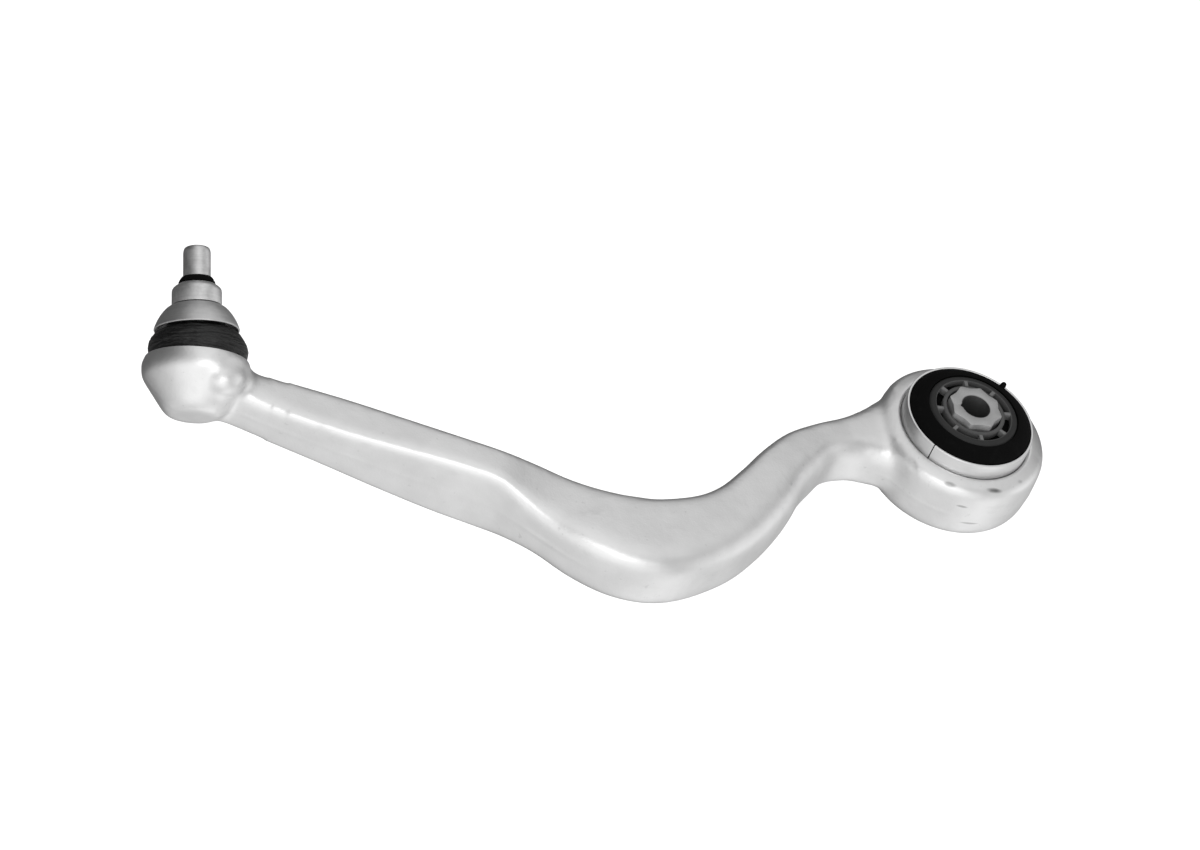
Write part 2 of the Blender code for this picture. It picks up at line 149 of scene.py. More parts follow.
class Recipe(Maker):
    """A material with a Principled BSDF, and the nodes that feed it."""

    def __init__(self, name, **constants):
        self.material = bpy.data.materials.new(name)
        self.material.use_nodes = True
        super().__init__(self.material.node_tree)
        self.shader = self.tree.nodes["Principled BSDF"]
        for key, value in constants.items():
            self.shader.inputs[key.replace("_", " ")].default_value = value
        self.place = self.node('ShaderNodeTexCoord', output="Object")

    def turned_to(self, axes):
        """Object coordinates in the frame of an axis, in metres."""
        back = axes.inverted()
        return self.node('ShaderNodeMapping', {"vector_type": 'POINT'},
                         {"Vector": self.place, "Location": back.to_translation(),
                          "Rotation": back.to_euler()})

    def parts_of(self, vector):
        """X, Y and Z of a vector."""
        split = self.node('ShaderNodeSeparateXYZ', inputs={0: vector}).socket.node
        return [Value(self, socket) for socket in split.outputs]

    def noise(self, size, detail=2.0, vector=None, stretch=None, roughness=0.5):
        """Soft noise from 0 to 1 whose lumps are about `size` metres across."""
        where = vector or self.place
        if stretch:
            where = self.node('ShaderNodeVectorMath', {"operation": 'MULTIPLY'},
                              {0: where, 1: stretch})
        return self.node('ShaderNodeTexNoise', inputs={
            "Vector": where, "Scale": 1.0 / size, "Detail": detail, "Roughness": roughness})

    def mix(self, share, first, second):
        """Blend two colours."""
        return self.node('ShaderNodeMix', {"data_type": 'RGBA'},
                         {MIX_SHARE: share, MIX_FIRST: first, MIX_SECOND: second},
                         output=MIX_COLOUR)

    def bump(self, height, depth):
        """A bump whose full height is `depth` metres, on top of earlier bumps."""
        previous = self.shader.inputs["Normal"].links
        inputs = {"Height": height, "Distance": depth, "Strength": 1.0}
        if previous:
            inputs["Normal"] = Value(self, previous[0].from_socket)
        self.feed("Normal", self.node('ShaderNodeBump', inputs=inputs))

    def feed(self, name, value):
        """Link a value to one of the shader's sockets."""
        self.tree.links.new(value.socket, self.shader.inputs[name])


def grey(level, warm=0.0):
    """A grey, which leans to yellow where it is warm."""
    return (level * (1 + warm), level, level * (1 - warm), 1.0)


print("shader helpers are ready")

# %% [markdown]
# ## Finishes of the metal pieces
#
# The forging is shot-blasted, so it is a satin metal with a fine grain, a slow change of tone
# where the blasting was uneven, and a few dull rubs from handling. The sleeve is rolled strip and
# shows faint lines round it. The core was sawn from an extruded bar, so its face is duller and
# speckled. The stud is turned steel: fine rings run round it. All of this could be painted into
# images, but noise nodes need no unwrapping and stay sharp at any distance.

# %% Forged aluminium
PATCH_REACH = 1.6        # in half sizes, where a dark patch ends before the rubs fray its edge
PAINTED_REFLECTIONS_AND_PATCHES = [
    # middle of the dark patch, its half sizes, how dark; the first, second and last are painted
    # dark reflections on the eye's rim edge, the other two darker patches on its wall
    ((0.0087, -0.0415, 0.0182), (0.0065, 0.0022, 0.0018), 0.85),
    ((-0.0170, -0.0395, 0.0172), (0.0045, 0.0024, 0.0012), 0.50),
    ((-0.0075, -0.0450, 0.0075), (0.0040, 0.0020, 0.0009), 0.45),
    ((0.0010, -0.0455, -0.0040), (0.0060, 0.0020, 0.0008), 0.40),
    ((0.0250, -0.0340, 0.0185), (0.0030, 0.0022, 0.0010), 0.40),
]


def forged_aluminium():
    """Satin shot-blasted aluminium with uneven tone, rubs, a fine grain and painted dark
    reflections on the eye's rim.
    """
    recipe = Recipe("forged_aluminium", Metallic=1.0)
    slow = recipe.noise(0.060, 3.0) * 0.5 + recipe.noise(0.011, 4.0) * 0.5
    rubs = recipe.noise(0.016, 4.0, stretch=(0.6, 1.0, 1.6), roughness=0.6)
    fine = recipe.noise(0.0011, 2.0)
    pits = recipe.step(recipe.noise(0.0032, 3.0), 0.66, 0.76)
    dull = recipe.step(rubs, 0.60, 0.74)
    tone = recipe.mix(recipe.step(slow, 0.25, 0.75), grey(0.695), grey(0.785))
    tone = recipe.mix(dull * 0.12, tone, grey(0.50))
    tone = recipe.mix(pits * 0.25, tone, grey(0.40))
    # painted dark reflections on the eye's rim edge, and darker patches on its wall
    for place, size, depth in PAINTED_REFLECTIONS_AND_PATCHES:
        offset = recipe.node('ShaderNodeVectorMath', {"operation": 'SUBTRACT'},
                             {0: recipe.place, 1: place})
        scaled = recipe.node('ShaderNodeVectorMath', {"operation": 'DIVIDE'},
                             {0: offset, 1: size})
        reach = recipe.node('ShaderNodeVectorMath', {"operation": 'LENGTH'}, {0: scaled},
                            output="Value")
        dark_patch = recipe.step(PATCH_REACH - reach - rubs, 0.05, 0.75)
        tone = recipe.mix(dark_patch * depth, tone, grey(0.10))
    recipe.feed("Base Color", tone)
    recipe.feed("Roughness", 0.37 + slow * 0.08 + dull * 0.06 + fine * 0.05)
    recipe.bump(fine, 0.00006)
    recipe.bump(recipe.noise(0.007, 3.0), 0.00016)
    return recipe.material


FORGED = forged_aluminium()
print("forged aluminium:", len(FORGED.node_tree.nodes), "nodes")

# %% [markdown]
# The other metals are simpler. Stretching a noise along one axis turns its lumps into lines, so
# lines that run round a piece come from noise that is squeezed across X and Y.

# %% Rolled, sawn and turned metal
BORE_EDGE = (0.0074, 0.0082)    # radii between which the painted shade in the bore meets the core's face


def rolled_sleeve():
    """Thin rolled tube: smooth, with faint lines round it."""
    recipe = Recipe("rolled_aluminium", Metallic=1.0)
    lines = recipe.noise(0.0007, 2.0, stretch=(0.03, 0.03, 1.0))
    patches = recipe.noise(0.012, 3.0)
    recipe.feed("Base Color", recipe.mix(lines * 0.5 + patches * 0.5, grey(0.62), grey(0.80)))
    recipe.feed("Roughness", 0.30 + patches * 0.10 + lines * 0.05)
    recipe.bump(lines, 0.00002)
    return recipe.material


def sawn_core():
    """Sawn end and drawn sides of the extruded core: dull, with a fine speckle, and painted shade
    in the bore.
    """
    recipe = Recipe("sawn_aluminium", Metallic=1.0)
    speckle = recipe.noise(0.0006, 3.0, roughness=0.7)
    cloud = recipe.noise(0.006, 2.0)
    across, along, _ = recipe.parts_of(recipe.place)
    radius = (across * across + along * along) ** 0.5
    # painted shade inside the bore: its walls are painted dark grey
    bore_shade = 1 - recipe.step(radius, *BORE_EDGE)
    tone = recipe.mix(speckle, grey(0.32), grey(0.62))
    tone = recipe.mix(cloud * 0.35, tone, grey(0.38))
    recipe.feed("Base Color", recipe.mix(bore_shade, tone, grey(0.10)))
    recipe.feed("Roughness", 0.52 + speckle * 0.14)
    recipe.bump(speckle, 0.00005)
    return recipe.material


def turned_steel(name, axes, low, high, roughness, mottle):
    """Steel with fine lathe rings about an axis, and a mottled grey skin."""
    recipe = Recipe(name, Metallic=1.0)
    local = recipe.turned_to(axes)
    rings = recipe.noise(0.0004, 2.0, vector=local, stretch=(0.02, 0.02, 1.0))
    skin = recipe.noise(0.0035, 4.0, vector=local, roughness=0.6)
    share = (rings * (1 - mottle) + skin * mottle * 1.5 - 0.25 * mottle).clamped()
    recipe.feed("Base Color", recipe.mix(share, grey(low), grey(high)))
    recipe.feed("Roughness", roughness + skin * 0.10 + rings * 0.06)
    recipe.bump(rings, 0.00002)
    recipe.bump(skin, 0.00003)
    return recipe.material


SLEEVE_METAL = rolled_sleeve()
CORE_METAL = sawn_core()
STUD_METAL = turned_steel("turned_steel", STUD, 0.40, 0.80, 0.36, 0.6)
SHIELD_METAL = turned_steel("plated_steel", STUD, 0.42, 0.66, 0.40, 0.4)
RING_METAL = turned_steel("plain_steel", SOCKET, 0.34, 0.52, 0.34, 0.3)
print("metals are ready")

# %% [markdown]
# ## Rubber, plastic and grease
#
# Rubber is nearly black, but it isn't even: the boot's skin is a little glossy, with fine creases
# round it that catch the light, and the bush's rubber is matt with faint dust. A darker colour
# alone would look like paint, so the creases get a bump and a painted sheen, a lighter colour.

# %% Rubber
def boot_rubber():
    """Satin rubber with fine creases that run round the boot, and a painted sheen on them."""
    recipe = Recipe("boot_rubber", Specular_IOR_Level=0.42)
    local = recipe.turned_to(SOCKET)
    creases = recipe.noise(0.0022, 3.0, vector=local, stretch=(0.20, 0.20, 1.5))
    dust = recipe.noise(0.009, 3.0, vector=local)
    # the creases are painted a little lighter: a painted sheen
    recipe.feed("Base Color", recipe.mix(recipe.step(creases, 0.45, 0.7), grey(0.001), grey(0.010)))
    recipe.feed("Roughness", 0.26 + dust * 0.20)
    recipe.bump(creases, 0.0024)
    recipe.bump(recipe.noise(0.0005, 1.0), 0.00002)
    return recipe.material


def bush_rubber_finish():
    """Matt moulded rubber with a trace of dust."""
    recipe = Recipe("bush_rubber", Specular_IOR_Level=0.08)
    dust = recipe.noise(0.007, 4.0, roughness=0.65)
    grain = recipe.noise(0.0006, 2.0)
    recipe.feed("Base Color", recipe.mix(recipe.step(dust, 0.5, 0.8), grey(0.0015), grey(0.004)))
    recipe.feed("Roughness", 0.70 + grain * 0.20)
    recipe.bump(grain, 0.00004)
    recipe.bump(dust, 0.0002)
    return recipe.material


BOOT_RUBBER = boot_rubber()
BUSH_RUBBER = bush_rubber_finish()
print("rubbers are ready")

# %% [markdown]
# The stop ring's plastic is painted lighter on its webs, a painted highlight along their tops.
# Those places are known by their distance from the bolt, so a mask on the radius finds them, with
# no need for a second material.

# %% Plastic and grease
HUB_EDGE = (0.0160, 0.0174)     # radii where the hub ends, and where the webs start and end
WEBS_START, WEBS_END = (0.0164, 0.0176), (0.0200, 0.0213)


def ring_plastic():
    """Dark moulded plastic, paler at the hub, with a painted highlight on the webs."""
    recipe = Recipe("ring_plastic", Specular_IOR_Level=0.20)
    across, along, _ = recipe.parts_of(recipe.place)
    radius = (across * across + along * along) ** 0.5
    webs = recipe.step(radius, *WEBS_START) * (1 - recipe.step(radius, *WEBS_END))
    hub = 1 - recipe.step(radius, *HUB_EDGE)
    grain = recipe.noise(0.0008, 3.0)
    cloud = recipe.noise(0.006, 3.0)
    tone = recipe.mix(cloud, grey(0.018), grey(0.028))
    # painted highlight on the webs' tops
    tone = recipe.mix(webs * (0.6 + grain * 0.4), tone, grey(0.20))
    tone = recipe.mix(hub, tone, grey(0.085))
    recipe.feed("Base Color", tone)
    recipe.feed("Roughness", 0.50 + grain * 0.14)
    recipe.bump(grain, 0.00004)
    return recipe.material


def moulded_plastic(name, low, high, warm):
    """Even moulded plastic with a soft cloud in its tone."""
    recipe = Recipe(name, Specular_IOR_Level=0.4)
    cloud = recipe.noise(0.008, 3.0)
    recipe.feed("Base Color", recipe.mix(cloud, grey(low, warm), grey(high, warm)))
    recipe.feed("Roughness", 0.40 + cloud * 0.15)
    recipe.bump(recipe.noise(0.0008, 2.0), 0.00003)
    return recipe.material


def grease_finish():
    """Amber grease."""
    recipe = Recipe("grease", Specular_IOR_Level=0.6)
    swirl = recipe.noise(0.004, 3.0)
    recipe.feed("Base Color", recipe.mix(swirl, (0.42, 0.27, 0.07, 1.0), (0.62, 0.45, 0.18, 1.0)))
    recipe.feed("Roughness", 0.16 + swirl * 0.14)
    recipe.bump(swirl, 0.0003)
    return recipe.material


RING_PLASTIC = ring_plastic()
DARK_PLASTIC = moulded_plastic("dark_plastic", 0.035, 0.055, 0.0)
PALE_PLASTIC = moulded_plastic("pale_plastic", 0.66, 0.76, 0.05)
GREASE = grease_finish()
print("plastics and grease are ready")

# %% [markdown]
# ## Profiles and turned pieces
#
# Most pieces were made on a lathe or in a round mould, so each is a half outline spun about its
# axis. Real edges are never knife sharp: `rounded` swaps each corner of an outline for a short
# curve, and that curve is what catches the light along an edge. A Bevel modifier could do it
# too, but here each corner can have a radius of its own. `flowing` draws one smooth curve through
# its points, for pressed or moulded shapes.

# %% Profile helpers
CORNER_SHARE = 0.45     # the most of a side that one rounded corner may use


def rounded(points, radius=0.3, closed=False, steps=3):
    """Round a profile's corners; a third number on a point is its own radius. All in mm."""
    result = []
    count = len(points)
    for index, point in enumerate(points):
        corner = Vector(point[:2])
        own = point[2] if len(point) > 2 else radius
        if not closed and index in (0, count - 1):
            result.append(corner)
            continue
        before = Vector(points[index - 1][:2]) - corner
        after = Vector(points[(index + 1) % count][:2]) - corner
        reach = min(own, before.length * CORNER_SHARE, after.length * CORNER_SHARE)
        start, stop = corner + before.normalized() * reach, corner + after.normalized() * reach
        for step in range(steps + 1):
            t = step / steps
            result.append(start * (1 - t) ** 2 + corner * 2 * t * (1 - t) + stop * t ** 2)
    return result


def flowing(points, steps):
    """A smooth curve through the points of an open profile, in mm."""
    points = [Vector(point) for point in points]
    result = []
    for index in range(len(points) - 1):
        before, start = points[max(index - 1, 0)], points[index]
        stop, after = points[index + 1], points[min(index + 2, len(points) - 1)]
        for step in range(steps):
            t = step / steps
            result.append(0.5 * (2 * start + (stop - before) * t
                                 + (2 * before - 5 * start + 4 * stop - after) * t ** 2
                                 + (3 * start - before - 3 * stop + after) * t ** 3))
    return result + [points[-1]]


def arc(radius, start, stop, steps, centre=(0.0, 0.0)):
    """Profile points round a centre, with angles in degrees from the radius towards +Z."""
    angles = [math.radians(start + (stop - start) * step / steps) for step in range(steps + 1)]
    return [Vector((centre[0] + radius * math.cos(angle), centre[1] + radius * math.sin(angle)))
            for angle in angles]


print("a rounded corner has", len(rounded([(0, 0), (1, 0), (1, 1)])) - 2, "points")

# %% [markdown]
# `spun` turns a profile into a bmesh with the spin operator. `finish` does what every piece needs
# at its end: smooth shading with sharp creases, a material, and a body to ride on.

# %% Spin and finish helpers
def spun(profile, steps=96, closed=False, angle=FULL_TURN):
    """Spin a profile in mm about Z and return the bmesh, in metres."""
    work = bmesh.new()
    verts = [work.verts.new((radius * MM, 0.0, height * MM)) for radius, height in profile]
    pairs = list(zip(verts, verts[1:])) + ([(verts[-1], verts[0])] if closed else [])
    edges = [work.edges.new(pair) for pair in pairs]
    full = angle == FULL_TURN
    bmesh.ops.spin(work, geom=verts + edges, axis=(0, 0, 1), cent=(0, 0, 0), angle=angle,
                   steps=steps, use_merge=full)
    if full:
        bmesh.ops.remove_doubles(work, verts=work.verts, dist=WELD / 10)
        bmesh.ops.recalc_face_normals(work, faces=work.faces)
    return work


def object_from(name, work, axes=Matrix()):
    """Turn a bmesh into an object at the origin, with its place in its mesh."""
    bmesh.ops.transform(work, matrix=axes, verts=work.verts)
    mesh = bpy.data.meshes.new(name)
    work.to_mesh(mesh)
    work.free()
    obj = bpy.data.objects.new(name, mesh)
    bpy.context.scene.collection.objects.link(obj)
    return obj


def finish(obj, material, slot, body, *replaced, sharp=40):
    """Shade a piece, give it its finish, and let it ride on its body for the nodes it replaces."""
    obj.data.shade_smooth()
    obj.data.set_sharp_from_angle(angle=math.radians(sharp))
    obj.data.materials.clear()
    obj.data.materials.append(material)
    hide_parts(*replaced)
    if body:
        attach(obj, body)
    faces = sum(len(polygon.vertices) - 2 for polygon in obj.data.polygons)
    print(f"{obj.name}: {faces} triangles on {body or 'two bodies'}")
    return obj


def carve(obj, *cutters, operation='DIFFERENCE'):
    """Apply Booleans with cutter objects, then remove the cutters."""
    for cutter in cutters:
        boolean = obj.modifiers.new("cut", 'BOOLEAN')
        boolean.operation = operation
        boolean.solver = 'MANIFOLD'
        boolean.object = cutter
    apply_modifiers(obj)
    for cutter in cutters:
        bpy.data.objects.remove(cutter, do_unlink=True)


def apply_modifiers(obj):
    """Keep the evaluated mesh and drop the modifiers."""
    graph = bpy.context.evaluated_depsgraph_get()
    mesh = bpy.data.meshes.new_from_object(obj.evaluated_get(graph))
    obj.modifiers.clear()
    obj.data = mesh


print("spin helpers are ready")

# %% [markdown]
# ## The forging
#
# A forging is pressed between two dies. Its sides lean a little, every edge is rounded, and where
# the dies meet a faint ridge is left round it at half height. The arm's section changes all the
# way along: tall and narrow near the ball, low and wide at the belly, and rounder on its front
# side in the bend. So the beam is a row of rings bridged together. Each ring starts as a circle
# from `create_circle`, whose points give the cosine and sine of a superellipse: a high power is
# nearly a rectangle, and 2 would be an ellipse. A curve with a bevel object would be quicker, but
# it keeps one section from end to end.

# %% Stations along the arm
ARM_STATIONS = [
    # x, y, width, height in mm, squareness of the rear and of the front
    (-421, -4, 22, 25, 5.0, 5.0),
    (-404, -8, 22, 26, 6.0, 5.5),
    (-380, -17, 25, 26, 7.0, 6.0),
    (-352, -27, 27, 29, 7.0, 6.2),
    (-325, -37.5, 26, 34, 7.0, 6.2),
    (-296, -48.5, 24, 39, 7.0, 6.2),
    (-272, -57, 24, 40, 7.0, 6.0),
    (-256, -64, 31, 34, 7.0, 5.4),
    (-240, -73, 38, 30, 7.0, 4.8),
    (-221, -84, 45, 34, 7.0, 4.4),
    (-203, -90.5, 50, 36, 7.0, 4.0),
    (-184, -91, 49, 37, 7.0, 3.6),
    (-157.5, -82, 42, 38, 6.5, 3.2),
    (-138, -69, 37, 38, 6.0, 2.9),
    (-121, -52, 34, 38, 6.0, 2.7),
    (-107, -35, 30, 37, 6.0, 2.7),
    (-92.5, -21, 27, 35, 6.0, 2.9),
    (-78, -11, 22, 33, 5.5, 3.0),
    (-62, -5.5, 25, 31, 5.0, 3.0),
    (-50, -3, 35, 31, 4.5, 2.8),
    (-38, -1, 49, 31, 4.5, 2.6),
]
RINGS_PER_STATION = 5
SECTION_POINTS = 64
length = sum(math.dist(a[:2], b[:2]) for a, b in zip(ARM_STATIONS, ARM_STATIONS[1:]))
print(f"the centre line is {length:.0f} mm long")

# %% [markdown]
# A smooth curve through the stations fills in the rings between them. It runs through every value
# of a row at once: place, width, height and both powers.

# %% Beam
def station_row(position):
    """All values of the arm at a fractional station, along one smooth curve."""
    index = min(int(position), len(ARM_STATIONS) - 2)
    t = position - index
    last = len(ARM_STATIONS) - 1
    four = [ARM_STATIONS[min(max(index + step, 0), last)] for step in (-1, 0, 1, 2)]
    return [0.5 * (2 * b + (c - a) * t + (2 * a - 5 * b + 4 * c - d) * t ** 2
                   + (3 * b - a - 3 * c + d) * t ** 3) for a, b, c, d in zip(*four)]


def section_ring(work, row, across):
    """A circle whose points move out to the arm's squarish section."""
    x, y, width, height, rear, front = row
    ring = bmesh.ops.create_circle(work, segments=SECTION_POINTS, radius=1.0)["verts"]
    for vertex in ring:
        cosine, sine = vertex.co.x, vertex.co.y
        power = 2 / (rear if cosine > 0 else front)
        side = math.copysign(abs(cosine) ** power, cosine) * width / 2
        lift = math.copysign(abs(sine) ** power, sine) * height / 2
        vertex.co = (Vector((x, y, lift)) + across * side) * MM
    return list({edge for vertex in ring for edge in vertex.link_edges})


def beam_shell():
    """Bridge the rings of the arm and close its ends."""
    work = bmesh.new()
    count = (len(ARM_STATIONS) - 1) * RINGS_PER_STATION
    rows = [station_row(index / RINGS_PER_STATION) for index in range(count + 1)]
    loops = []
    for index, row in enumerate(rows):
        ahead, behind = rows[min(index + 1, count)], rows[max(index - 1, 0)]
        along = Vector((ahead[0] - behind[0], ahead[1] - behind[1], 0)).normalized()
        loops.append(section_ring(work, row, Vector((0, 0, 1)).cross(along)))
    for left, right in zip(loops, loops[1:]):
        bmesh.ops.bridge_loops(work, edges=left + right)
    for loop in (loops[0], loops[-1]):
        bmesh.ops.contextual_create(work, geom=loop)
    bmesh.ops.recalc_face_normals(work, faces=work.faces)
    return work


shells = beam_shell()
print("the beam has", len(shells.faces), "faces")

# %% [markdown]
# The eye and the ball housing are spun blanks, and a low boss sits where the housing meets the
# arm. The shapes overlap, and a voxel remesh makes them one skin. Smoothing that skin rounds the
# hollow where the shapes meet, just as metal flows in a die. The neck beside each blank is
# smoothed for longer, because a die has its largest radii there.

# %% Eye, housing and boss
EYE_BLANK = [(0, 19.8), (36.4, 19.8), (43.4, 17.4, 1.5), (45.3, 14.0, 2), (45.7, 0.5, 4),
             (44.6, -10.5, 3), (42.6, -15.0, 3), (39.0, -17.1, 2), (0, -17.1)]
HOUSING_BLANK = [(0, 11.5), (22.6, 11.5), (25.2, 8.2, 2), (27.0, 6.4, 2), (28.0, 3.4, 2),
                 (28.5, -0.6, 3), (27.8, -4.4, 3), (16.4, -20.9, 2), (15.0, -22.7, 1),
                 (12.6, -23.9, 1), (0, -23.9)]
BOSS_PLACE = Vector((-415.2, -18.2, 20.6)) * MM
BOSS_HALF = (11.5, 8.0, 6.4)


def boss_frame():
    """The boss lies flat on the housing, with its long side along the arm."""
    out = (BOSS_PLACE - BALL_CENTRE).normalized()
    along = Vector((1, 0, 0)) - out * out.x
    along.normalize()
    turn = Matrix((along, out.cross(along), out)).transposed().to_4x4()
    return Matrix.Translation(BOSS_PLACE) @ turn


def add_blanks(shells):
    """Add the eye, the housing and the boss to the beam, as overlapping closed shells."""
    for profile, axes in ((rounded(EYE_BLANK), Matrix()), (rounded(HOUSING_BLANK), SOCKET)):
        blank = spun(profile, 128)
        bmesh.ops.transform(blank, matrix=axes, verts=blank.verts)
        mesh = bpy.data.meshes.new("blank")
        blank.to_mesh(mesh)
        blank.free()
        shells.from_mesh(mesh)
        bpy.data.meshes.remove(mesh)
    size = Matrix.Diagonal((*(Vector(BOSS_HALF) * MM), 1.0))
    bmesh.ops.create_icosphere(shells, subdivisions=4, radius=1.0, matrix=boss_frame() @ size)


add_blanks(shells)
skin = object_from("arm_skin", shells)
print("blank shells:", len(skin.data.polygons), "faces")

# %% [markdown]
# Boolean unions would join the shells too, but they leave a knife edge in every hollow, and a
# Bevel modifier can't round an edge that wanders like that. A remesh gives even faces, which
# smoothing can move.

# %% One skin, with die radii
FINE_VOXEL = 1.05
VOXEL = FINE_VOXEL
NECKS = [
    # middle of the neck and its reach, in mm, and extra smoothing steps
    (Vector((-398, -13, 4)), 24, 56),
    (Vector((-44, -23, 4)), 18, 44),
    (Vector((-43, 20, 4)), 17, 44),
    (Vector((-48, 0, 17)), 13, 30),
    (BOSS_PLACE / MM, 17, 22),
    (SOCKET @ Vector((0, 0, -0.023)) / MM, 17, 18),
]
NECK_CORE = 0.7         # the inner share of a neck, which gets a second helping
ALL_OVER = 8            # smoothing steps on the whole skin


def smooth(work, verts, steps):
    """Move each vertex half way to the middle of its neighbours, again and again."""
    for _ in range(steps):
        bmesh.ops.smooth_vert(work, verts=verts, factor=0.5, use_axis_x=True, use_axis_y=True,
                              use_axis_z=True)


def die_radii(obj):
    """Remesh the overlapping shells to one skin and relax it."""
    remesh = obj.modifiers.new("skin", 'REMESH')
    remesh.mode = 'VOXEL'
    remesh.voxel_size = VOXEL * MM
    apply_modifiers(obj)
    work = bmesh.new()
    work.from_mesh(obj.data)
    scale = (FINE_VOXEL / VOXEL) ** 2
    smooth(work, work.verts, round(ALL_OVER * scale))
    for middle, reach, steps in NECKS:
        near = [vertex for vertex in work.verts if (vertex.co / MM - middle).length < reach]
        core = [vertex for vertex in near if (vertex.co / MM - middle).length < reach * NECK_CORE]
        smooth(work, near, round(steps / 2 * scale))
        smooth(work, core, round(steps / 2 * scale))
    work.to_mesh(obj.data)
    work.free()


die_radii(skin)
print("skin:", len(skin.data.polygons), "faces")

# %% [markdown]
# The ridge left by the dies is a low line round the sides at half height. It isn't even: trimming
# takes more off in one place than in another, so slow noise fades it in and out. After that the
# machinist bores the eye, cuts the socket and turns a stepped seat for the boot, and those cuts
# are crisp where the forging is soft. Each cutter is a spun profile too, and a Boolean takes it
# away from the skin.

# %% Parting ridge and machining
RIDGE_HEIGHT = 0.32
RIDGE_WIDTH = 0.8
RIDGE_MEAN, RIDGE_SWING, RIDGE_LUMP = 0.55, 0.9, 26
BORE_CUT = [(0, 50), (37.4, 50), (37.4, 19.65), (36.0, 19.35), (35.0, 18.4), (35.0, -16.2),
            (36.0, -17.4), (36.0, -50), (0, -50)]
SOCKET_RADIUS = 18.6
SOCKET_CUT = [(0, 20), (17.2, 20), (17.2, 9.6), (SOCKET_RADIUS, 9.6)]
SEAT_CUT = [(22.0, 7.6), (24.0, 7.6), (24.0, 5.7), (33.0, 5.7), (33.0, 16), (22.0, 16)]


def parting_ridge(obj):
    """Raise a faint ridge on the sides where the two dies met."""
    work = bmesh.new()
    work.from_mesh(obj.data)
    work.normal_update()
    for vertex in work.verts:
        place = vertex.co / MM
        share = math.exp(-(place.z / RIDGE_WIDTH) ** 2) * (1 - abs(vertex.normal.z))
        uneven = RIDGE_MEAN + RIDGE_SWING * noise.noise(place / RIDGE_LUMP)
        vertex.co += vertex.normal * RIDGE_HEIGHT * max(uneven, 0.0) * share * MM
    work.to_mesh(obj.data)
    work.free()


parting_ridge(skin)
bore = object_from("bore", spun(rounded(BORE_CUT, 0.1), 160))
socket_profile = SOCKET_CUT + arc(SOCKET_RADIUS, 0, -90, 16)
socket = object_from("socket", spun(socket_profile), SOCKET)
seat = object_from("seat", spun(rounded(SEAT_CUT, closed=True), 128, closed=True), SOCKET)
carve(skin, bore, socket, seat)
skin.name = skin.data.name = "arm_forging_fine"
finish(skin, FORGED, "forged_aluminium", "arm", "arm_forging", sharp=50)

# %% [markdown]
# ## The ball stud
#
# Ball, neck, collar and shank are one turned bar. Only the collar and the shank show, but the
# ball is there too, so the piece is whole when the joint is taken apart. The shank's end is
# rounded over, and the collar has a broad chamfer under the seal. A sphere and a few cylinders
# would need unions to become one piece, and one spun profile is whole from the start.

# %% Stud
BALL_RADIUS = 14.5
BALL_FLAT = 13.4
NECK_RADIUS = 7.5
neck = math.degrees(math.acos(NECK_RADIUS / BALL_RADIUS))
flat = -math.degrees(math.asin(BALL_FLAT / BALL_RADIUS))
stud_profile = rounded([
    (0, 66.4), (4.6, 66.4, 1.2), (6.5, 65.6, 1.4), (7.1, 63.6, 1.2), (7.1, 46.3, 0.3),
    (9.5, 46.3, 0.8), (12.9, 43.7, 1.6), (12.9, 35.1, 0.3), (10.4, 35.1), (10.4, 33.4),
    (9.2, 30.0), (9.2, 22.0), (8.0, 16.0), (NECK_RADIUS, 12.6)], 0.4)
stud_profile += arc(BALL_RADIUS, neck, flat, 40)[1:] + [Vector((0.0, -BALL_FLAT))]
stud = object_from("ball_stud_fine", spun(stud_profile), STUD)
finish(stud, STUD_METAL, "stud_steel", "stud", "ball_stud")

# %% [markdown]
# ## Dust shield and shank seal
#
# The dome is pressed from sheet, so it is a smooth outer curve, a smooth inner curve and a small
# rolled lip between them. One curve with Solidify would also do, but the lip is thicker than the
# sheet, and drawing both sides gives it its shape. The seal is a soft cone that is squeezed when
# the joint is bolted up.

# %% Shield and seal
dome = flowing([(11.2, 34.9), (13.2, 34.5), (15.2, 33.4), (17.1, 31.5), (18.9, 29.1), (20.4, 26.5),
                (21.5, 24.0), (22.05, 22.4)], 4)
lip = arc(0.55, 0, -180, 6, (21.5, 22.2))
under = flowing([(20.9, 22.4), (20.1, 24.0), (19.1, 26.2), (17.7, 28.6), (16.0, 30.8),
                 (14.4, 32.5), (12.8, 33.5), (10.8, 33.8)], 4)
shield = object_from("dust_shield_fine", spun(dome + lip + under + [Vector((10.8, 34.7))],
                                              closed=True), STUD)
finish(shield, SHIELD_METAL, "zinc_steel", "stud", "dust_shield")
seal = object_from("stud_seal_fine", spun(rounded([
    (7.8, 50.0, 0.3), (8.6, 49.0, 0.8), (9.5, 47.2, 0.5), (9.5, 46.6, 0.2), (7.3, 46.6, 0.1),
    (7.3, 50.0, 0.2)], closed=True), 72, closed=True), STUD)
finish(seal, BUSH_RUBBER, "rubber", "stud", "stud_seal_ring")
